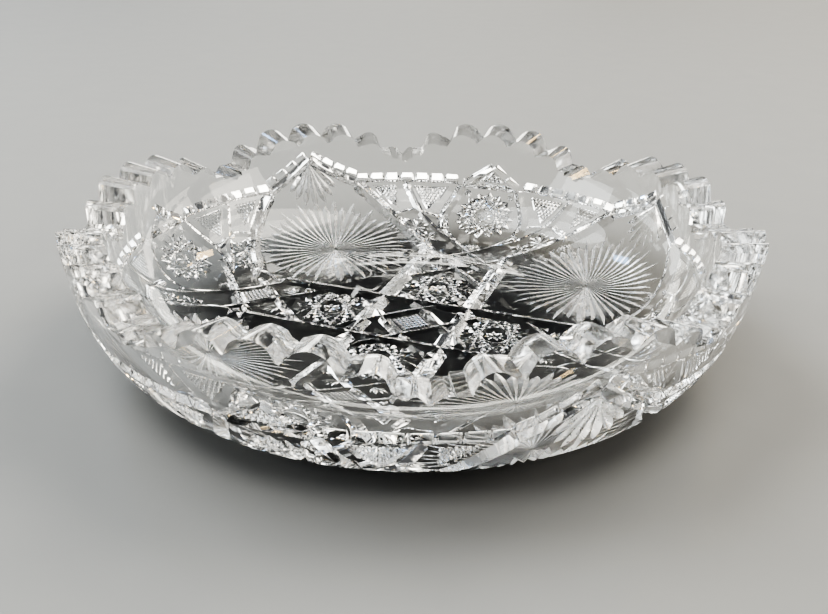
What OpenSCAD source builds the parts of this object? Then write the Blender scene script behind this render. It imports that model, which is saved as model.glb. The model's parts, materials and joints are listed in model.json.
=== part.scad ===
// Low round bowl of cut lead crystal with a scalloped, saw-toothed rim.
// One solid piece of glass. The dish stands on its flat ground base; +Z is up
// and the origin is at the centre of the base.

/* [Blank] */
// Diameter over the tips of the middle teeth
dish_d = 178; // [120:1:230]
// Overall height, base to the tips of the middle teeth
dish_h = 42; // [34:1:60]
// Diameter of the flat base
base_d = 102; // [60:1:112]
// Thickness of the wall at the rim
rim_t = 10.2; // [7:0.1:12]
// Thickness of the floor
floor_t = 9; // [6:0.5:12]
// Bands that the curved side is turned in
bands = 14; // [8:1:20]

/* [Rim] */
// Scallops round the rim
scallops = 8; // [4:1:12]
// Angle between two large teeth
tooth_step = 7.6; // [6.5:0.1:7.8]
// Angle from a valley to the small tooth beside it
small_step = 2.1; // [1.6:0.1:2.6]
// Depth of the notch beside the middle tooth
notch_h = 4.7; // [3:0.1:6]
// Drop of the second tooth below the middle tooth
drop_1 = 0.8; // [0:0.1:1.5]
// Drop of the third tooth
drop_2 = 4.2; // [3:0.1:5]
// Drop of the small tooth beside the valley
drop_3 = 9.2; // [8:0.1:10]
// Rise of the rounded top of a large tooth
crown_h = 1.4; // [0.6:0.1:2]

/* [Cutting] */
// Half angle of the mitre wheel's edge
wheel_a = 50; // [35:1:60]
// Depth of the long mitre cuts
mitre_h = 1.6; // [0.8:0.1:2.2]
// Distance of the long mitre cuts from the centre
mitre_off = 13.8; // [12:0.1:16]
// Distance of the short mitre cuts from the centre
square_off = 7.4; // [5:0.1:10]
/* [Hidden] */
R = dish_d / 2;
eps = 0.02;

// Point on a cubic curve through four control points
function bez(p, t) = pow(1-t,3)*p[0] + 3*pow(1-t,2)*t*p[1] + 3*(1-t)*t*t*p[2] + t*t*t*p[3];

// Control points of the outer and inner faces, in radius and height
outer_c = [[base_d/2, 0], [0.970*R, 0], [0.985*R, dish_h - 0.11*R], [R, dish_h]];
inner_c = [[0.50*R, floor_t], [0.860*R, floor_t], [R - rim_t - 0.010*R, dish_h - 0.10*R], [R - rim_t, dish_h]];
outer_p = [for (i = [0:bands]) bez(outer_c, i/bands)];
inner_p = [for (i = [0:bands]) bez(inner_c, 1 - i/bands)];

// Tooth centres from the middle of one scallop, and their drops
half_a = 180 / scallops;
tooth_a = [0, tooth_step, 2*tooth_step, half_a - small_step];
tooth_z = [dish_h, dish_h - drop_1, dish_h - drop_2, dish_h - drop_3];
notch_a = [for (i = [0:2]) (tooth_a[i] + tooth_a[i+1]) / 2];
notch_z = [tooth_z[0] - notch_h, tooth_z[1] - notch_h - 1.1, tooth_z[2] - notch_h - 0.6];
valley_z = tooth_z[3] - 2.2;

// Half of a tooth's outline: from the tip, over the crown, to the notch.
// w is the half width, z1 the tip, z0 the notch's bottom, k the crown's share.
function half_tooth(w, z1, z0, k, c) = [[w, z1], [w*(1-0.34*k), z1 - c*0.18], [w*(1-0.66*k), z1 - c*0.55], [w*(1-k), z1 - c], [0, z0]];
function flip(p) = [for (i = [len(p)-1:-1:0]) [-p[i][0], p[i][1]]];

// Outline of the air above one notch between a left and a right tooth
function notch_outline(wl, zl, cl, wr, zr, cr, z0, kl, kr) = let (
    r = half_tooth(wr, zr, z0, kr, cr),
    l = [for (p = half_tooth(wl, zl, z0, kl, cl)) [-p[0], p[1]]]
  ) concat(
    [[-wl - 0.3, dish_h + 6]], [[-wl - 0.3, zl]], [for (i = [0:len(l)-1]) l[i]],
    [for (i = [len(r)-2:-1:0]) r[i]], [[wr + 0.3, zr]], [[wr + 0.3, dish_h + 6]]);

// Radial bar of the given outline at azimuth a
module radial_bar(a, pts) {
  rotate([0, 0, a]) translate([R*0.74, 0, 0]) rotate([90, 0, 90])
    linear_extrude(height = R*0.34) polygon(pts);
}

// One notch i of a scallop centred on azimuth a, on side s
module notch(a, i, s) {
  w_in  = R * tan((tooth_a[i+1] - tooth_a[i]) / 2);
  c_in  = crown_h;
  small = i == 2;
  pts = notch_outline(w_in, tooth_z[i], c_in, w_in, tooth_z[i+1], small ? 0.5 : c_in, notch_z[i], 0.62, small ? 0.30 : 0.62);
  radial_bar(a + s*notch_a[i], s > 0 ? pts : flip(pts));
}

// Valley between two scallops
module valley(a) {
  w = R * tan(small_step);
  radial_bar(a, notch_outline(w, tooth_z[3], 0.5, w, tooth_z[3], 0.5, valley_z, 0.3, 0.3));
}

module rim_cuts() {
  for (k = [0:scallops-1]) {
    a = half_a + k * 2 * half_a;
    for (i = [0:2], s = [-1, 1]) notch(a, i, s);
    valley(a + half_a);
  }
}

// Turned blank: outside, inside and flat base as one closed outline
module blank() {
  rotate_extrude($fn = 160)
    polygon(concat([[0, 0]], outer_p, [for (p = inner_p) p], [[0, floor_t]]));
}

// Straight V cut across the base, length l, centred at x, y, turned by a
module mitre(x, y, a, l, h) {
  rotate([0, 0, a]) translate([x, y, 0]) rotate([90, 0, 90])
    linear_extrude(height = l, center = true)
      polygon([[-(h + eps) * tan(wheel_a), -eps], [(h + eps) * tan(wheel_a), -eps], [0, h]]);
}

// Long cuts that border the four arms, and short cuts of the centre square
module base_cuts() {
  for (q = [0:3]) {
    mitre(0, mitre_off, 22.5 + 90*q, base_d * 0.9, mitre_h);
    mitre(0, square_off, 67.5 + 90*q, base_d * 0.34, mitre_h * 0.8);
  }
}

// Cut crystal dish
module dish() {
  color([0.86, 0.93, 0.96, 0.75])
    difference() {
      blank();
      rim_cuts();
      base_cuts();
    }
}

dish();
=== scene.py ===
import json
import math

import bpy
import numpy as np
from mathutils import Matrix, Vector

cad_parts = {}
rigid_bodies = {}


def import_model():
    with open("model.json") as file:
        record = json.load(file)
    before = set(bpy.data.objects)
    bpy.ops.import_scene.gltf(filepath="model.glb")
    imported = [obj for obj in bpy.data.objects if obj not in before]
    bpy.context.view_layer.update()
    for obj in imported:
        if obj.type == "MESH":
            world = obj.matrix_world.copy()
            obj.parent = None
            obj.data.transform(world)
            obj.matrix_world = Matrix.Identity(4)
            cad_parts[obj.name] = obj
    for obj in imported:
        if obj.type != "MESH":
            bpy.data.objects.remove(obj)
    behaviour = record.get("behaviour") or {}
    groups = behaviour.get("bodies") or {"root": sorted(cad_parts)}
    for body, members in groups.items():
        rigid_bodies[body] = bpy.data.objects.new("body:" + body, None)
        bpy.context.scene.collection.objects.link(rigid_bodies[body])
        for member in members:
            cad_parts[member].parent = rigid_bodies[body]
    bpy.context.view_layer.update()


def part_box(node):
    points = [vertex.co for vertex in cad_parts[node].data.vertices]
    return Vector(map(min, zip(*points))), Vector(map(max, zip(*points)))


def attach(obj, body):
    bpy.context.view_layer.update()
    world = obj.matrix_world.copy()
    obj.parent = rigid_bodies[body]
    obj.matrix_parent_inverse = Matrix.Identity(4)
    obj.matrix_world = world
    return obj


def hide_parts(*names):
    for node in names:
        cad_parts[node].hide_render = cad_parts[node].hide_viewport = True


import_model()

# ---------------------------------------------------------------- sizes, mm
LO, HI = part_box("dish")
H = (HI.z - LO.z) * 1000.0                 # height of the dish
R = 89.0 * H / 41.997                      # radius over the middle teeth
BASE = 51.0 * R / 89.0                     # radius of the flat base
RIM_T = 10.2 * R / 89.0                    # wall thickness at the rim
FLOOR = 9.0 * R / 89.0                     # floor thickness
MM = 0.001


def bez(p, t):
    t = np.asarray(t, float)[:, None]
    p = np.asarray(p, float)
    return (1-t)**3*p[0] + 3*(1-t)**2*t*p[1] + 3*(1-t)*t*t*p[2] + t**3*p[3]


OUT = [[BASE, 0], [0.970*R, 0], [0.985*R, H - 0.11*R], [R, H]]
INN = [[0.50*R, FLOOR], [0.860*R, FLOOR], [R - RIM_T - 0.010*R, H - 0.10*R], [R - RIM_T, H]]

_c = bez(OUT, np.linspace(0, 1, 801))
_c = np.vstack([[[0, 0]], _c])
_d = np.r_[0, np.cumsum(np.hypot(*np.diff(_c, axis=0).T))]
S_END = float(_d[-1])


def prof(s):
    """Radius, height and outward normal of the outer face at arc length s from the centre of the base."""
    s = np.asarray(s, float)
    r = np.interp(s, _d, _c[:, 0]); z = np.interp(s, _d, _c[:, 1])
    e = 0.25
    r1 = np.interp(s + e, _d, _c[:, 0]); z1 = np.interp(s + e, _d, _c[:, 1])
    r0 = np.interp(s - e, _d, _c[:, 0]); z0 = np.interp(s - e, _d, _c[:, 1])
    dr, dz = r1 - r0, z1 - z0
    n = np.maximum(np.hypot(dr, dz), 1e-9)
    return r, z, dz / n, -dr / n


def s_of_r(r):
    return float(np.interp(r, _c[:, 0], _d))


def s_of_z(z):
    return float(np.interp(z, _c[1:, 1], _d[1:]))


def bend(p):
    """Flat pattern space (x, y, depth) to the bowl, in mm."""
    p = np.asarray(p, float)
    s = np.hypot(p[:, 0], p[:, 1])
    r, z, nr, nz = prof(s)
    ux = np.where(s > 1e-9, p[:, 0] / np.maximum(s, 1e-9), 0)
    uy = np.where(s > 1e-9, p[:, 1] / np.maximum(s, 1e-9), 1)
    rr = r - p[:, 2] * nr
    return np.stack([ux * rr, uy * rr, z - p[:, 2] * nz], 1)


# ---------------------------------------------------------------- pattern, flat space
def pol(s, deg):
    a = math.radians(deg)
    return np.array([s * math.sin(a), s * math.cos(a)])


def plan(x, y):
    """A point given in plan, in units of R, to flat pattern space."""
    r = math.hypot(x, y)
    s = s_of_r(r * R)
    return np.array([x, y]) / max(r, 1e-9) * s


class Frame:
    def __init__(self, deg, side=1):
        a = math.radians(deg)
        self.u = np.array([math.sin(a), math.cos(a)])
        self.v = np.array([math.cos(a), -math.sin(a)]) * side
        self.deg, self.side = deg, side

    def __call__(self, a, b):              # plan units of R
        q = self.u * a + self.v * b
        return plan(q[0], q[1])

    def pol(self, s, deg):                 # arc length mm, angle from the axis
        return pol(s, self.deg + self.side * deg)

    def rp(self, r, deg):                  # plan radius in R, angle from the axis
        return self.pol(s_of_r(r * R), deg)


SEAM = s_of_z(H - 7.0)
CUTS = {}
OV = 0.35                                  # how far a cutter stands proud of the face


def resample(pts, step):
    pts = np.asarray(pts, float)
    out = [pts[0]]
    for a, b in zip(pts[:-1], pts[1:]):
        n = max(1, int(math.ceil(np.linalg.norm(b - a) / step)))
        for i in range(1, n + 1):
            out.append(a + (b - a) * i / n)
    return np.array(out)


def smooth_path(pts, it=2):
    pts = np.asarray(pts, float)
    for _ in range(it):                    # corner cutting
        q = [pts[0]]
        for a, b in zip(pts[:-1], pts[1:]):
            q += [a * 0.75 + b * 0.25, a * 0.25 + b * 0.75]
        q.append(pts[-1])
        pts = np.array(q)
    return pts


def groove(group, pts, depth, half, t0=2.0, t1=2.0, step=3.5, prof_d=None):
    """A V cut along a path: full depth and half width, run out over t0 and t1 at its ends."""
    pts = resample(pts, step)
    L = np.r_[0, np.cumsum(np.linalg.norm(np.diff(pts, axis=0), axis=1))]
    tot = L[-1]
    if tot < 0.3:
        return
    # extra stations so that the run-outs are at their true length
    want = [x for x in (t0, tot - t1) if 0.15 < x < tot - 0.15]
    for x in want:
        if np.min(np.abs(L - x)) > 0.15:
            i = int(np.searchsorted(L, x))
            f = (x - L[i-1]) / (L[i] - L[i-1])
            pts = np.insert(pts, i, pts[i-1] + f * (pts[i] - pts[i-1]), 0)
            L = np.insert(L, i, x)
    if prof_d is None:
        k = np.ones(len(L))
        if t0 > 0:
            k = np.minimum(k, L / t0)
        if t1 > 0:
            k = np.minimum(k, (tot - L) / t1)
    else:
        k = np.interp(L / tot, prof_d[0], prof_d[1])
    ta = half / depth
    d = np.where(k <= 1e-6, -0.06, k * depth)
    tg = np.gradient(pts, axis=0)
    tg /= np.maximum(np.linalg.norm(tg, axis=1), 1e-9)[:, None]
    nn = np.stack([-tg[:, 1], tg[:, 0]], 1)
    w = (d + OV) * ta
    V = np.concatenate([
        np.c_[pts, d],
        np.c_[pts + nn * w[:, None], np.full(len(L), -OV)],
        np.c_[pts - nn * w[:, None], np.full(len(L), -OV)]])
    n = len(L)
    F = [(0, n, 2*n), (n-1, 3*n-1, 2*n-1)]
    for i in range(n-1):
        F += [(i, i+1, n+i+1, n+i), (n+i, n+i+1, 2*n+i+1, 2*n+i), (2*n+i, 2*n+i+1, i+1, i)]
    CUTS.setdefault(group, []).append((V, F))


def clip_line(poly, p, d):
    """Part of the line p + t d inside a convex polygon, or None."""
    t0, t1 = -1e9, 1e9
    c = poly.mean(0)
    for a, b in zip(poly, np.roll(poly, -1, 0)):
        e = b - a
        n = np.array([-e[1], e[0]])
        if np.dot(c - a, n) < 0:
            n = -n
        num, den = np.dot(a - p, n), np.dot(d, n)
        if abs(den) < 1e-9:
            if num > 0:
                return None
            continue
        t = num / den
        if den > 0:
            t0 = max(t0, t)
        else:
            t1 = min(t1, t)
    return (t0, t1) if t1 - t0 > 0.5 else None


def inset(poly, d):
    poly = np.asarray(poly, float)
    c = poly.mean(0)
    n = len(poly)
    lines = []
    for i in range(n):
        a, b = poly[i], poly[(i+1) % n]
        e = (b - a) / np.linalg.norm(b - a)
        m = np.array([-e[1], e[0]])
        if np.dot(c - a, m) < 0:
            m = -m
        lines.append((a + m * d, e))
    out = []
    for i in range(n):
        (p, e), (q, f) = lines[i-1], lines[i]
        det = e[0]*(-f[1]) + f[0]*e[1]
        r = q - p
        t = (r[0]*(-f[1]) + f[0]*r[1]) / det
        out.append(p + e * t)
    return np.array(out)


def hatch(group, poly, ang, pitch=1.25, d_in=1.0, cross=62.0, both=True):
    """Fine diamonds: two sets of close V cuts inside a convex cell."""
    poly = inset(poly, d_in)
    c = poly.mean(0)
    for s in ((-1, 1) if both else (1,)):
        a = math.radians(ang + s * cross / 2)
        d = np.array([math.sin(a), math.cos(a)])
        m = np.array([d[1], -d[0]])
        span = (poly - c) @ m
        for i in range(int(math.ceil(span.min() / pitch)), int(math.floor(span.max() / pitch)) + 1):
            p = c + m * (i * pitch)
            t = clip_line(poly, p, d)
            if t:
                groove(group, [p + d * t[0], p + d * t[1]], pitch * 0.56, pitch * 0.5, 0.35, 0.35, step=6)


def star(group, c, rad, n, depth, ang0=0.0, inner=0.0, long_k=0.86, pitch_k=1.0, peak=0.70):
    """A many-rayed star of keel-shaped V cuts."""
    for i in range(n):
        a = ang0 + i * 2 * math.pi / n
        d = np.array([math.sin(a), math.cos(a)])
        rr = rad * (1.0 if i % 2 == 0 else long_k)
        full = rad * peak
        half = full * math.tan(math.pi / n) * 1.02 * pitch_k
        k0 = max(inner / full, 0.03)
        f = (full - inner) / (rr - inner)
        groove(group, [c + d * inner, c + d * rr], depth, half, step=3.0,
               prof_d=([0, f, f + (1 - f) * 0.5, 1.0], [k0, 1.0, 0.62, 0.0]))


def hobstar(group, c, rad, n=16, k=6, ang0=0.0, half=0.80, depth=0.85):
    pts = [c + rad * np.array([math.sin(ang0 + i*2*math.pi/n), math.cos(ang0 + i*2*math.pi/n)]) for i in range(n)]
    for i in range(n):
        groove(group, [pts[i], pts[(i+k) % n]], depth, half, 2.2, 2.2, step=4.0)
    hub = rad * math.cos(math.pi * k / n) - half
    # small star cut in the hob
    for i in range(8):
        a = ang0 + (i + 0.5) * math.pi / 4
        d = np.array([math.sin(a), math.cos(a)])
        groove(group, [c + d * 0.25, c + d * hub * 0.92], 0.55, hub * 0.30, step=4.0,
               prof_d=([0, 0.5, 1.0], [0.15, 1.0, 0.0]))


S_BAND = s_of_r(0.945 * R)                 # lower edge of the notched border
BAND_W = 3.6
S_PEAK_A = s_of_z(H - 0.165 * R)           # apex of the small hatched peaks
S_PEAK_P = s_of_z(H - 10.6) - 1.3                    # apex of the star panels
A_NODE = 7.0                               # half width of a hatched peak, degrees
P_NODE = 11.0                              # half width of a star panel's peak, degrees
HOB_R = 0.862                               # the outer hobstars' distance from the axis, in R
LINE = 13.0 / 89.0                         # the long cuts' distance from the centre, in R


def pad(group, a, b, up, w, depth, f=0.24):
    """One block of the notched border: a short cut with a steep lower side, two broad upper facets and eased ends."""
    a, b, up = np.asarray(a, float), np.asarray(b, float), np.asarray(up, float)
    V, F = [], []
    L = np.linalg.norm(b - a)
    e = min(0.22, 0.8 / L)
    for t, k in ((0.0, 0.62), (e, 1.0), (1 - e, 1.0), (1.0, 0.62)):
        p, d = a + (b - a) * t, depth * k
        mu, md = w * 0.60, d * 0.60
        for u, z in ((-OV * f * w / d, -OV), (f * w, d), (mu, md), (w + OV * (w - mu) / md, -OV)):
            V.append((*(p + up * u), z))
    F += [(3, 2, 1, 0), (12, 13, 14, 15)]
    for i in range(3):
        for j in range(4):
            k = (j + 1) % 4
            F.append((4*i + j, 4*i + k, 4*i + 4 + k, 4*i + 4 + j))
    CUTS.setdefault(group, []).append((np.array(V), F))


def band_arc(fr, deg0, deg1, n):
    """The border along the top of the cutting, between a peak and a panel, at constant height."""
    gap = math.degrees(0.17 / S_BAND)
    for i in range(n):
        a0 = deg0 + (deg1 - deg0) * i / n + gap
        a1 = deg0 + (deg1 - deg0) * (i + 1) / n - gap
        up = fr.pol(1.0, (a0 + a1) / 2)
        h = math.sin(fr.deg * 1.7 + fr.side * 2.3 + i * 4.1)
        pad("pads", fr.pol(S_BAND, a0), fr.pol(S_BAND, a1), up, BAND_W, 1.55 + 0.07 * h, 0.25 + 0.02 * h)


def build_pattern():
    # long cuts that border the four arms, straight across the base
    for deg in (22.5, 112.5):
        for sd in (-1, 1):
            f = Frame(deg)
            xs = np.linspace(-0.545, 0.545, 30)
            groove("main", [f(x, sd * LINE) for x in xs], 2.5, 2.75, 3.0, 3.0)
    # the centre's second square
    for deg in (-22.5, 67.5):
        f = Frame(deg)
        for sd in (-1, 1):
            groove("main2", [f.u * x + f.v * sd * 6.2 for x in (-21.0, 21.0)], 1.7, 1.9, 3.5, 3.5)
    c0 = Frame(22.5)
    sq = [c0.u * a * 8.77 + c0.v * b * 8.77 for a, b in ((1, 0), (0, 1), (-1, 0), (0, -1))]
    hatch("hatch", sq, 22.5, pitch=1.15, d_in=2.1, cross=90)

    for k in range(4):
        arm = 22.5 + 90 * k
        f0 = Frame(arm)
        # small hatched triangles round the centre
        tri = [f0.u * 8.77, f0.u * 13 + f0.v * 4.23, f0.u * 13 - f0.v * 4.23]
        hatch("hatch", tri, arm, pitch=0.95, d_in=1.0, cross=90)
        # inner and outer hobstars
        hobstar("hob1", f0(0.273, 0), 11.0, 16, 6, math.radians(arm), half=0.85, depth=0.9)
        sc = s_of_r(HOB_R * R)
        hobstar("hob2", f0.pol(sc, 0), 11.2, 16, 6, math.radians(arm), half=0.85, depth=0.95)
        # diamond between the crossings
        x1, x2 = 0.468, 0.63
        m = (x1 + x2) / 2; hb = (x2 - x1) / 2
        hatch("hatch", [f0(x1, 0), f0(m, hb), f0(x2, 0), f0(m, -hb)], arm, pitch=1.15, d_in=1.5, cross=90)
        # top arc above the outer hobstar and its peak
        A = np.linspace(-A_NODE, A_NODE, 5)
        groove("lines", [f0.pol(S_BAND, a) for a in A], 1.1, 1.15, 0.5, 0.5)
        apex = f0.pol(S_PEAK_A, 0)
        hatch("hatch", [f0.pol(S_BAND + 0.6, -A_NODE), f0.pol(S_BAND + 0.6, A_NODE), apex], arm, pitch=1.25, d_in=1.7, cross=62)

        # short rays below the outer hobstar
        pb = f0(0.655, 0)
        for j in range(5):
            an = math.radians((j - 2) * 17.0)
            d = f0.u * math.cos(an) + f0.v * math.sin(an)
            groove("fan", [pb, pb + d * 5.2], 0.85, 0.9, step=6, prof_d=([0, .6, 1], [.08, 1, 0]))

        for sd in (-1, 1):
            f = Frame(arm, sd)
            # crossing cuts in the arm
            groove("cross", [f(x1 + t, t) for t in np.linspace(-LINE, LINE, 8)], 1.2, 1.35, 2.0, 2.0)
            groove("cross", [f(x2 + t, t) for t in np.linspace(-LINE, LINE, 8)], 1.2, 1.35, 2.0, 0.8)
            # triangle between the crossings and the border
            hatch("hatch", [f(m, hb), f(x2 - LINE, LINE), f(x1 + LINE, LINE)], arm, pitch=1.25, d_in=1.35, cross=90)
            # corners of the inner hobstar's cell
            for pa, pb, ax in ((0.415, 0.118, -135), (0.128, 0.118, -45)):
                pc = f(pa, pb)
                for j in range(3):
                    an = math.radians(ax + (j - 1) * 24.0)
                    d = f.u * math.cos(an) + f.v * math.sin(an)
                    groove("fan2", [pc, pc + d * 3.6], 0.75, 0.8, step=6, prof_d=([0, .55, 1], [.1, 1, 0]))
            # cell beside the inner hobstar: a short fan
            p0 = f(x1 - 0.035, 0.052)
            for j, an in enumerate((-38, -19, 0, 19, 38)):
                dd = Frame(arm, sd)
                a = math.radians(-45 + 0 + an)
                d = dd.u * math.cos(a) * 1.0 - dd.v * math.sin(a)
                groove("fan", [p0, p0 + d * (5.6 - abs(an) * 0.03)], 0.5, 0.62, prof_d=([0, .55, 1], [.1, 1, 0]), step=6)
            # side of the outer hobstar's cell, up to the peak's foot
            node = f.pol(S_BAND, A_NODE)
            side = smooth_path([f(x2 + LINE, LINE), f.rp(0.865, 11.4), node], 2)
            groove("cross", side, 1.7, 2.0, 0.8, 1.0)
            # split that rises to the border
            sp = smooth_path([f(0.708, 0.078), f(0.787, 0.215), f.pol(S_BAND, 21.5)], 2)
            groove("cross", sp, 1.3, 1.5, 1.5, 0.8)
            # hatched cells under the border
            hatch("hatch", [f.pol(S_BAND, A_NODE + 2), f.pol(S_BAND, 20.5), f.rp(0.86, 15.8)], arm + sd * 15, pitch=1.25, d_in=1.1, cross=62)
            hatch("hatch", [f.pol(S_BAND, 23.0), f.pol(S_BAND, 31.5), f.rp(0.865, 23.2)], arm + sd * 27, pitch=1.25, d_in=1.1, cross=62)
            groove("cross", [f.rp(0.845, 12.0), f.rp(0.872, 19.5), f.rp(0.850, 25.5)], 1.2, 1.35, 1.0, 1.0)
            # rays in the corners over the hobstar, and beside the panel's side
            for pc, ax, m, ln in ((f.pol(S_BAND - 1.6, A_NODE - 1.0), -152, 3, 3.4), (f.rp(0.835, 22.8), 172, 5, 7.6), (f.rp(0.70, 19.8), 12, 5, 6.6)):
                for j in range(m):
                    an = math.radians(ax + (j - (m - 1) / 2) * 17.0)
                    d = f.u * math.cos(an) + f.v * math.sin(an)
                    groove("fan2", [pc, pc + d * ln], 0.9, 0.95, step=6, prof_d=([0, .6, 1], [.08, 1, 0]))
            # small stars in the cells beside the outer hobstar
            star("fan", f.rp(0.795, 18.6), 6.6, 12, 1.0, math.radians(arm), long_k=0.8, pitch_k=1.0)
            star("fan", f.rp(0.728, 15.0), 5.0, 8, 0.9, math.radians(arm + 20), long_k=0.8)
            # the peak's sides: one long facet and one of two blocks
            t = (apex - node) / np.linalg.norm(apex - node)
            nrm = np.array([-t[1], t[0]])
            if np.dot(nrm, f.v) < 0:
                nrm = -nrm
            L = np.linalg.norm(apex - node)
            nb = 1 if sd < 0 else 2
            for i in range(nb):
                pad("pads", node + t * (L * i / nb + 0.15) - nrm * 1.5, node + t * (L * (i + 1) / nb - 0.15) - nrm * 1.5, nrm, 3.4, 1.45)
            # the border from the peak's foot to the star panel
            band_arc(f, A_NODE + 1.2, 45 - P_NODE, 7)

        # ---- star panel, 45 degrees on
        pan = arm - 45
        g0 = Frame(pan)
        cs = g0.rp(0.675, 0)
        star("star", cs, 27.5, 44, 0.98, math.radians(pan), inner=0.8, long_k=0.88, peak=0.76)
        papex = g0.pol(S_PEAK_P, 0)
        fa = g0.pol(S_PEAK_P - 1.9, 0)
        for j in range(7):
            an = (j - 3) * 14.5
            d = -g0.u * math.cos(math.radians(an)) + g0.v * math.sin(math.radians(an))
            ln = 18.0 - abs(j - 3) * 1.3
            groove("fan", [fa, fa + d * ln], 1.75, 1.45, step=4.0, prof_d=([0, .66, .86, 1], [.05, 1, .72, 0]))
        for sd in (-1, 1):
            g = Frame(pan, sd)
            edge = [g(LINE * math.sqrt(2) + 0.29, 0.29), g.rp(0.640, 31.0), g.rp(0.70, 27.9), g.rp(0.80, 22.9), g.rp(0.90, 16.2), g.pol(S_BAND, P_NODE)]
            groove("main3", smooth_path(edge, 2), 2.75, 2.65, 1.2, 0.8)
            foot = g.pol(S_BAND, P_NODE)
            t = (papex - foot) / np.linalg.norm(papex - foot)
            nrm = np.array([-t[1], t[0]])
            if np.dot(nrm, foot) < 0:
                nrm = -nrm
            if np.dot(nrm, g.v) < 0:
                nrm = -nrm
            groove("lines2", [foot, papex], 1.5, 1.6, 0.5, 0.3)
            L = np.linalg.norm(papex - foot)
            for i in range(4):
                p0 = foot + t * (L * i / 4 + 0.17)
                p1 = foot + t * (L * (i + 1) / 4 - 0.17)
                pad("pads", p0 + nrm * 1.5, p1 + nrm * 1.5, nrm, 3.3 - 0.35 * i, 1.35 - 0.12 * i)


def mesh_obj(name, V, F, coll=None):
    me = bpy.data.meshes.new(name)
    me.from_pydata([tuple(v) for v in V], [], [tuple(f) for f in F])
    me.update()
    ob = bpy.data.objects.new(name, me)
    (coll or bpy.context.scene.collection).objects.link(ob)
    return ob


def apply_cuts(ob, cuts, tag):
    """Takes every cutter away from the object and applies the result."""
    coll = bpy.data.collections.new("cut_" + tag)
    bpy.context.scene.collection.children.link(coll)
    for i, (V, F) in enumerate(cuts):
        V = np.asarray(V, float)
        # outward faces: the signed volume must be positive
        vol = 0.0
        for f in F:
            for j in range(1, len(f) - 1):
                vol += np.dot(V[f[0]], np.cross(V[f[j]], V[f[j+1]]))
        if vol < 0:
            F = [tuple(reversed(f)) for f in F]
        mesh_obj("c_%s_%d" % (tag, i), V, F, coll)
    m = ob.modifiers.new("cut", "BOOLEAN")
    m.operation = "DIFFERENCE"
    m.operand_type = "COLLECTION"
    m.collection = coll
    m.solver = "MANIFOLD"
    dg = bpy.context.evaluated_depsgraph_get()
    me = bpy.data.meshes.new_from_object(ob.evaluated_get(dg))
    ob.modifiers.clear()
    old = ob.data
    ob.data = me
    bpy.data.meshes.remove(old)
    for o in list(coll.objects):
        d = o.data
        bpy.data.objects.remove(o)
        bpy.data.meshes.remove(d)
    bpy.data.collections.remove(coll)
    return ob


NSEG = 192


def slab():
    rings = [BASE] + list(np.linspace(BASE, SEAM, 14)[1:])
    V, F = [], []
    az = np.arange(NSEG) * 2 * math.pi / NSEG
    for s in rings:
        for a in az:
            V.append((s * math.sin(a), s * math.cos(a), 0.0))
    for i in range(len(rings) - 1):
        for j in range(NSEG):
            k = (j + 1) % NSEG
            F.append((i*NSEG + j, i*NSEG + k, (i+1)*NSEG + k, (i+1)*NSEG + j))
    F.append(tuple(range(NSEG - 1, -1, -1)))
    top = (len(rings) - 1) * NSEG
    n0 = len(V)
    for a in az:
        V.append((SEAM * math.sin(a), SEAM * math.cos(a), 6.0))
    for j in range(NSEG):
        k = (j + 1) % NSEG
        F.append((top + j, top + k, n0 + k, n0 + j))
    F.append(tuple(n0 + j for j in range(NSEG)))
    return V, F


# ---------------------------------------------------------------- rim
TOOTH_A = [0.0, 7.6, 15.2, 22.5 - 2.1]
TOOTH_Z = [H, H - 0.8, H - 4.2, H - 9.2]
NOTCH_A = [(TOOTH_A[i] + TOOTH_A[i+1]) / 2 for i in range(3)]
NOTCH_Z = [TOOTH_Z[0] - 4.7, TOOTH_Z[1] - 5.8, TOOTH_Z[2] - 5.3]
VALLEY_Z = TOOTH_Z[3] - 2.2


def half_tooth(w, z1, z0, k, c):
    """Half a tooth's outline, tip to notch: a rounded crown and a straight flank."""
    pts = []
    for i in range(7):
        f = i / 6.0
        pts.append((w * (1 - f * k), z1 - c * f ** 2.0))
    pts.append((0.0, z0))
    return pts


TIP_SLOPE = 0.13                      # a tooth's ridge falls towards the inside; the notch floor stays level


def bar(az_deg, pl, pr):
    """Radial prism of the air over one notch."""
    left = [(-x, z) for x, z in pl]
    out = [(left[0][0] - 0.3, H + 6), (left[0][0] - 0.3, left[0][1])] + left + list(reversed(pr[:-1])) + [(pr[0][0] + 0.3, pr[0][1]), (pr[0][0] + 0.3, H + 6)]
    a = math.radians(az_deg)
    ur = np.array([math.sin(a), math.cos(a), 0]); ut = np.array([math.cos(a), -math.sin(a), 0])
    V = []
    low = pl[-1][1]
    for rr in (R * 0.74, R * 1.08):
        for x, z in out:
            top = (pl if x < 0 else pr)[0][1]
            f = (z - low) / (top - low) if low < z <= top else 0.0
            V.append(ur * rr + ut * x + np.array([0, 0, z + (rr - R) * TIP_SLOPE * f]))
    n = len(out)
    F = [tuple(range(n)), tuple(range(2*n - 1, n - 1, -1))]
    for i in range(n):
        j = (i + 1) % n
        F.append((j, i, n + i, n + j))
    return np.array(V), F


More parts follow.
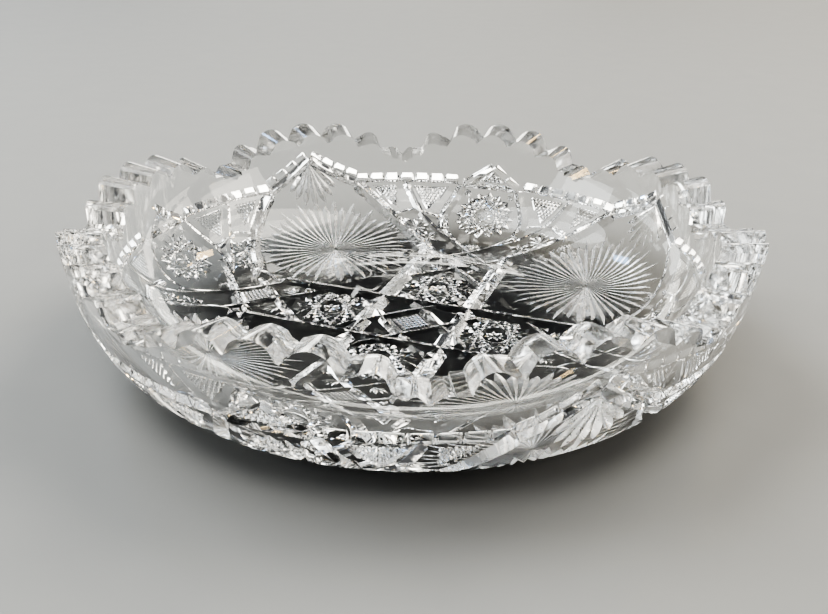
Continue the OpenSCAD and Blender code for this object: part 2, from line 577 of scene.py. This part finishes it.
def rim_cuts():
    cuts = []
    for k in range(8):
        a = 22.5 + 45 * k
        for i in range(3):
            w = R * math.tan(math.radians(TOOTH_A[i+1] - TOOTH_A[i]) / 2)
            small = i == 2
            near = half_tooth(w, TOOTH_Z[i], NOTCH_Z[i], 0.62, 1.4)
            far = half_tooth(w, TOOTH_Z[i+1], NOTCH_Z[i], 0.30 if small else 0.62, 0.5 if small else 1.4)
            cuts.append(bar(a + NOTCH_A[i], near, far))
            cuts.append(bar(a - NOTCH_A[i], far, near))
        w = R * math.tan(math.radians(2.1))
        h = half_tooth(w, TOOTH_Z[3], VALLEY_Z, 0.3, 0.5)
        cuts.append(bar(a + 22.5, h, h))
    return cuts


def build_dish():
    V, F = slab()
    ob = mesh_obj("flat", V, F)
    import bmesh
    bm = bmesh.new(); bm.from_mesh(ob.data); bmesh.ops.recalc_face_normals(bm, faces=bm.faces); bm.to_mesh(ob.data); bm.free()
    build_pattern()
    for tag, cuts in CUTS.items():
        n0 = len(ob.data.polygons)
        apply_cuts(ob, cuts, tag)
        print("CUT", tag, len(cuts), "faces", n0, "->", len(ob.data.polygons))
    # keep the cut face only, then bend it on to the bowl
    me = ob.data
    co = np.zeros(len(me.vertices) * 3); me.vertices.foreach_get("co", co); co = co.reshape(-1, 3)
    s = np.hypot(co[:, 0], co[:, 1])
    bm = bmesh.new(); bm.from_mesh(me)
    bmesh.ops.triangulate(bm, faces=[f for f in bm.faces if len(f.verts) > 4], quad_method="BEAUTY", ngon_method="BEAUTY")
    bm.faces.ensure_lookup_table()
    dead = []
    for f in bm.faces:
        zs = [v.co.z for v in f.verts]
        if min(zs) > 5.9:
            dead.append(f); continue
        if max(zs) > 5.9:
            dead.append(f)
    bmesh.ops.delete(bm, geom=dead, context="FACES")
    loose = [v for v in bm.verts if not v.link_faces]
    bmesh.ops.delete(bm, geom=loose, context="VERTS")
    seam = {v for e in bm.edges if len(e.link_faces) == 1 for v in e.verts}
    P = np.array([v.co[:] for v in bm.verts])
    B = bend(P)
    for v, b in zip(bm.verts, B):
        v.co = b
    # the rest of the blank: plain wall above the cutting, rim, inside
    az = np.arange(NSEG) * 2 * math.pi / NSEG
    rings = []
    for sv in np.linspace(SEAM, S_END, 6):
        r, z, _, _ = prof(sv)
        rings.append((float(r), float(z)))
    for t in np.linspace(1, 0, 26):
        p = bez(INN, [t])[0]
        rings.append((float(p[0]), float(p[1])))
    prev = None
    for r, z in rings:
        cur = [bm.verts.new((r * math.sin(a), r * math.cos(a), z)) for a in az]
        if prev is None:
            seam.update(cur)
        else:
            for j in range(NSEG):
                k = (j + 1) % NSEG
                bm.faces.new((prev[j], prev[k], cur[k], cur[j]))
        prev = cur
    bm.faces.new(prev)
    bmesh.ops.remove_doubles(bm, verts=list(seam), dist=2e-3)
    bmesh.ops.recalc_face_normals(bm, faces=bm.faces)
    nonman = [e for e in bm.edges if not e.is_manifold]
    print("nonmanifold edges", len(nonman))
    bm.to_mesh(me); bm.free()
    apply_cuts(ob, rim_cuts(), "rim")
    print("RIM ->", len(ob.data.polygons))
    return ob


dish = build_dish()
dish.name = "cut_dish"
dish.data.name = "cut_dish"


# ---------------------------------------------------------------- normals
def set_normals(ob):
    me = ob.data
    nv = len(me.vertices)
    co = np.zeros(nv * 3); me.vertices.foreach_get("co", co); co = co.reshape(-1, 3)
    r = np.hypot(co[:, 0], co[:, 1]); z = co[:, 2]
    from mathutils.kdtree import KDTree

    def near(curve):
        kd = KDTree(len(curve))
        for i, p in enumerate(curve):
            kd.insert((p[0], p[1], 0), i)
        kd.balance()
        return kd
    oc = np.vstack([np.c_[np.linspace(0, BASE, 200, endpoint=False), np.zeros(200)], bez(OUT, np.linspace(0, 1, 3000))])
    ic = np.vstack([np.c_[np.linspace(0, 0.5*R, 200, endpoint=False), np.full(200, FLOOR)], bez(INN, np.linspace(0, 1, 3000))])
    res = {}
    for tag, cv in (("o", oc), ("i", ic)):
        t = np.gradient(cv, axis=0); t /= np.maximum(np.linalg.norm(t, axis=1), 1e-12)[:, None]
        kd = near(cv)
        on = np.zeros(nv, bool); nr = np.zeros((nv, 2))
        for i in range(nv):
            _, j, d = kd.find((r[i], z[i], 0))
            # distance to the line through the nearest sample
            q = np.array([r[i], z[i]]) - cv[j]
            off = abs(q[0] * -t[j, 1] + q[1] * t[j, 0])
            on[i] = off < 0.035 and d < 0.6
            s = 1 if tag == "o" else -1
            nr[i] = (s * t[j, 1], -s * t[j, 0])
        res[tag] = (on, nr)
    # sharp where two faces meet at more than 14 degrees
    import bmesh
    bm = bmesh.new(); bm.from_mesh(me)
    for e in bm.edges:
        e.smooth = not (len(e.link_faces) == 2 and e.calc_face_angle(0) > math.radians(14))
    for f in bm.faces:
        f.smooth = True
    bm.to_mesh(me); bm.free()
    cn = np.zeros(len(me.loops) * 3, np.float32)
    me.corner_normals.foreach_get("vector", cn)
    cn = cn.reshape(-1, 3).astype(float)
    lv = np.zeros(len(me.loops), int); me.loops.foreach_get("vertex_index", lv)
    start = np.zeros(len(me.polygons), int); me.polygons.foreach_get("loop_start", start)
    tot = np.zeros(len(me.polygons), int); me.polygons.foreach_get("loop_total", tot)
    pn = np.zeros(len(me.polygons) * 3); me.polygons.foreach_get("normal", pn); pn = pn.reshape(-1, 3)
    lf = np.repeat(np.arange(len(me.polygons)), tot)
    cnt = {}
    for tag in ("o", "i"):
        on, nr = res[tag]
        bad = np.bincount(lf, weights=(~on[lv]).astype(float), minlength=len(me.polygons))
        full = bad == 0
        dirs = np.stack([np.where(r > 1e-6, co[:, 0] / np.maximum(r, 1e-6), 0), np.where(r > 1e-6, co[:, 1] / np.maximum(r, 1e-6), 0)], 1)
        an = np.stack([dirs[:, 0] * nr[:, 0], dirs[:, 1] * nr[:, 0], nr[:, 1]], 1)
        L = full[lf]
        dotp = (an[lv] * pn[lf]).sum(1)
        L &= dotp > 0.9
        cn[L] = an[lv][L]
        cnt[tag] = int(L.sum())
    print("analytic loops", cnt, "of", len(cn))
    cn /= np.maximum(np.linalg.norm(cn, axis=1), 1e-9)[:, None]
    me.normals_split_custom_set([tuple(v) for v in cn])


set_normals(dish)
dish.data.transform(Matrix.Scale(MM, 4))
print("TRIS", sum(len(p.vertices) - 2 for p in dish.data.polygons))

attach(dish, "root")
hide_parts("dish")


# ---------------------------------------------------------------- glass
def crystal():
    m = bpy.data.materials.new("lead_crystal")
    m.use_nodes = True
    nt = m.node_tree
    n, l = nt.nodes, nt.links
    p = n["Principled BSDF"]
    p.inputs["Base Color"].default_value = (0.990, 0.991, 0.983, 1)
    p.inputs["IOR"].default_value = 1.56
    p.inputs["Transmission Weight"].default_value = 1.0
    tc = n.new("ShaderNodeTexCoord")
    at = n.new("ShaderNodeAttribute"); at.attribute_name = "satin"
    # fine wheel lines left in the satin cuts
    w = n.new("ShaderNodeTexNoise"); w.inputs["Scale"].default_value = 420.0; w.inputs["Detail"].default_value = 3.0
    l.new(tc.outputs["Object"], w.inputs["Vector"])
    s = n.new("ShaderNodeTexNoise"); s.inputs["Scale"].default_value = 38.0; s.inputs["Detail"].default_value = 4.0
    l.new(tc.outputs["Object"], s.inputs["Vector"])
    r0 = n.new("ShaderNodeMapRange")
    r0.inputs["From Min"].default_value = 0.35; r0.inputs["From Max"].default_value = 0.75
    r0.inputs["To Min"].default_value = 0.0; r0.inputs["To Max"].default_value = 0.018
    l.new(s.outputs["Fac"], r0.inputs["Value"])
    mul = n.new("ShaderNodeMath"); mul.operation = "MULTIPLY"
    l.new(at.outputs["Fac"], mul.inputs[0]); l.new(w.outputs["Fac"], mul.inputs[1])
    k = n.new("ShaderNodeMath"); k.operation = "MULTIPLY_ADD"; k.inputs[1].default_value = 0.66
    l.new(mul.outputs[0], k.inputs[0]); l.new(r0.outputs["Result"], k.inputs[2])
    l.new(k.outputs[0], p.inputs["Roughness"])
    b = n.new("ShaderNodeBump"); b.inputs["Strength"].default_value = 0.10; b.inputs["Distance"].default_value = 0.00035
    l.new(s.outputs["Fac"], b.inputs["Height"])
    l.new(b.outputs["Normal"], p.inputs["Normal"])
    return m


def paint_satin(ob):
    """How satin each face is: 0 on polished glass, up to 1 in the fine cuts."""
    me = ob.data
    nf = len(me.polygons)
    c = np.zeros(nf * 3); me.polygons.foreach_get("center", c); c = c.reshape(-1, 3) / MM
    nrm = np.zeros(nf * 3); me.polygons.foreach_get("normal", nrm); nrm = nrm.reshape(-1, 3)
    r = np.hypot(c[:, 0], c[:, 1])
    ss = np.linspace(0, S_END, 3000)
    pr, pz, nr, nz = prof(ss)
    from mathutils.kdtree import KDTree
    kd = KDTree(len(ss))
    for i in range(len(ss)):
        kd.insert((pr[i], pz[i], 0), i)
    kd.balance()
    val = np.zeros(nf)
    inn = np.vstack([bez(INN, np.linspace(0, 1, 1500))])
    ki = KDTree(len(inn))
    for i, q in enumerate(inn):
        ki.insert((q[0], q[1], 0), i)
    ki.balance()
    stars, hobs, fans = [], [], []
    for k in range(4):
        arm = 22.5 + 90 * k
        stars.append(Frame(arm - 45).rp(0.675, 0))
        fans.append((Frame(arm - 45).pol(S_PEAK_P - 1.9, 0), Frame(arm - 45).u))
        hobs.append(Frame(arm)(0.275, 0)); hobs.append(Frame(arm).pol(s_of_r(HOB_R * R), 0))
    for i in range(nf):
        _, j, d = kd.find((r[i], c[i, 2], 0))
        if c[i, 2] > H - 12.0:
            # the rim's own cuts keep a trace of the wheel; the plain wall is polished
            dirv = np.array([c[i, 0], c[i, 1]]) / max(r[i], 1e-6)
            if ki.find((r[i], c[i, 2], 0))[2] > 0.15 and d > 0.15 or abs(float(np.dot(nrm[i, :2], dirv))) < 0.25:
                val[i] = 0.30
                continue
        if d > 2.6:
            continue
        out = np.array([nr[j] * c[i, 0] / max(r[i], 1e-6), nr[j] * c[i, 1] / max(r[i], 1e-6), nz[j]])
        cosv = float(np.dot(out, nrm[i]))
        if cosv > 0.985 or cosv < 0.15 or ss[j] > SEAM:
            continue
        p = np.array([c[i, 0], c[i, 1]]) / max(r[i], 1e-6) * ss[j]
        v = 0.06
        if min(np.linalg.norm(p - q) for q in stars) < 28.0:
            v = 1.0
        elif any(1.0 < np.linalg.norm(p - q) < 18.0 and np.dot(q - p, u) > 0.68 * np.linalg.norm(p - q) for q, u in fans):
            v = 0.85
        elif min(np.linalg.norm(p - q) for q in hobs) < 10.9:
            v = 0.20
        elif d < 0.45:
            v = 0.26
        val[i] = v
    a = me.attributes.new("satin", "FLOAT", "FACE")
    a.data.foreach_set("value", val.astype(np.float32))


paint_satin(dish)
dish.data.materials.clear()
dish.data.materials.append(crystal())


# ---------------------------------------------------------------- stage
def floor():
    import bmesh
    bm = bmesh.new()
    bmesh.ops.create_grid(bm, x_segments=8, y_segments=8, size=3.0)
    me = bpy.data.meshes.new("floor"); bm.to_mesh(me); bm.free()
    ob = bpy.data.objects.new("floor", me)
    bpy.context.scene.collection.objects.link(ob)
    ob.location.z = LO.z - 0.00002
    m = bpy.data.materials.new("floor"); m.use_nodes = True
    nt = m.node_tree; n, l = nt.nodes, nt.links
    p = n["Principled BSDF"]
    p.inputs["Roughness"].default_value = 0.8
    p.inputs["Specular IOR Level"].default_value = 0.2
    tc = n.new("ShaderNodeTexCoord"); t = n.new("ShaderNodeTexNoise")
    t.inputs["Scale"].default_value = 60.0; t.inputs["Detail"].default_value = 6.0
    l.new(tc.outputs["Object"], t.inputs["Vector"])
    mx = n.new("ShaderNodeMix"); mx.data_type = "RGBA"
    mx.inputs["A"].default_value = (0.37, 0.37, 0.365, 1); mx.inputs["B"].default_value = (0.395, 0.395, 0.385, 1)
    l.new(t.outputs["Fac"], mx.inputs["Factor"])
    l.new(mx.outputs["Result"], p.inputs["Base Color"])
    me.materials.append(m)
    return ob


floor()


def area(name, loc, aim, size, size_y, power, colour=(1, 1, 1)):
    li = bpy.data.lights.new(name, "AREA")
    li.shape = "ELLIPSE" if name.startswith("top") else "RECTANGLE"
    li.size = size; li.size_y = size_y
    li.energy = power; li.color = [c * k for c, k in zip(colour, (1.0, 0.992, 0.95))]     # slightly warm lamps
    ob = bpy.data.objects.new(name, li)
    bpy.context.scene.collection.objects.link(ob)
    ob.location = loc
    ob.rotation_euler = (Vector(aim) - Vector(loc)).to_track_quat("-Z", "Y").to_euler()
    return ob


area("top_left", (-0.66, 0.20, 1.02), (0, 0, 0.02), 0.86, 0.90, 5.0, (0.93, 0.965, 1.0))
area("top_right", (0.66, 0.26, 1.00), (0, 0, 0.02), 0.80, 0.86, 4.4, (1.0, 0.965, 0.91))
area("top_front", (-0.10, -0.60, 1.10), (0, 0, 0.02), 0.60, 0.50, 2.2)
area("back_left", (-0.83, 1.42, 0.20), (0, 0, 0.03), 0.66, 0.34, 1.9, (0.93, 0.965, 1.0))
area("back_mid", (0.0, 1.50, 0.20), (0, 0, 0.03), 0.74, 0.34, 2.3, (1.0, 0.99, 0.96))
area("back_right", (0.83, 1.42, 0.20), (0, 0, 0.03), 0.66, 0.34, 1.9, (1.0, 0.965, 0.92))
area("low_left", (-1.42, 0.78, 0.20), (0, 0, 0.03), 0.66, 0.34, 1.7, (0.90, 0.95, 1.0))
area("low_right", (1.42, 0.78, 0.20), (0, 0, 0.03), 0.66, 0.34, 1.7, (1.0, 0.95, 0.88))
area("left_soft", (-1.10, -0.10, 0.40), (0, 0, 0.03), 0.60, 0.55, 2.6, (0.92, 0.96, 1.0))
area("right_soft", (1.10, -0.15, 0.42), (0, 0, 0.03), 0.55, 0.55, 2.4, (1.0, 0.96, 0.90))
# small tinted panels, for the coloured glints of lead crystal
area("warm_chip", (0.62, 0.86, 0.86), (0, 0, 0.03), 0.14, 0.14, 0.55, (1.0, 0.72, 0.38))
area("cool_chip", (-0.58, 0.90, 0.84), (0, 0, 0.03), 0.14, 0.14, 0.55, (0.42, 0.62, 1.0))

w = bpy.data.worlds.new("studio")
bpy.context.scene.world = w
w.use_nodes = True
w.node_tree.nodes["Background"].inputs["Color"].default_value = (0.80, 0.82, 0.85, 1)
w.node_tree.nodes["Background"].inputs["Strength"].default_value = 0.07

# ---------------------------------------------------------------- camera
RM = R * MM
FPX, DIST, ELEV = 940.0, 2.80, math.radians(18.01)
PITCH, YAW, ROLL = math.radians(24.58), math.radians(0.20), math.radians(-1.00)
TURN = math.radians(-2.89)
cam_pos = Vector((0, -math.cos(ELEV), math.sin(ELEV))) * (DIST * RM)
fwd = Vector((math.sin(YAW) * math.cos(PITCH), math.cos(YAW) * math.cos(PITCH), -math.sin(PITCH)))
right = fwd.cross(Vector((0, 0, 1))).normalized()
up = right.cross(fwd)
c_, s_ = math.cos(ROLL), math.sin(ROLL)
right, up = right * c_ - up * s_, right * s_ + up * c_
rot = Matrix.Rotation(TURN, 3, "Z")
cam_pos = rot @ cam_pos + Vector((0, 0, HI.z))
right, up, fwd = rot @ right, rot @ up, rot @ fwd
mw = Matrix((
    (right.x, up.x, -fwd.x, cam_pos.x),
    (right.y, up.y, -fwd.y, cam_pos.y),
    (right.z, up.z, -fwd.z, cam_pos.z),
    (0, 0, 0, 1)))
cam = bpy.data.cameras.new("camera")
cam.sensor_width = 36.0
cam.lens = FPX / 828.0 * 36.0
cam.clip_start = 0.005
cam_ob = bpy.data.objects.new("camera", cam)
bpy.context.scene.collection.objects.link(cam_ob)
cam_ob.matrix_world = mw
bpy.context.scene.camera = cam_ob

sc = bpy.context.scene
sc.cycles.max_bounces = 24
sc.cycles.transmission_bounces = 24
sc.cycles.glossy_bounces = 8
sc.cycles.caustics_refractive = False
sc.view_settings.view_transform = "AgX"
sc.view_settings.look = "AgX - High Contrast"
sc.view_settings.exposure = 0.8
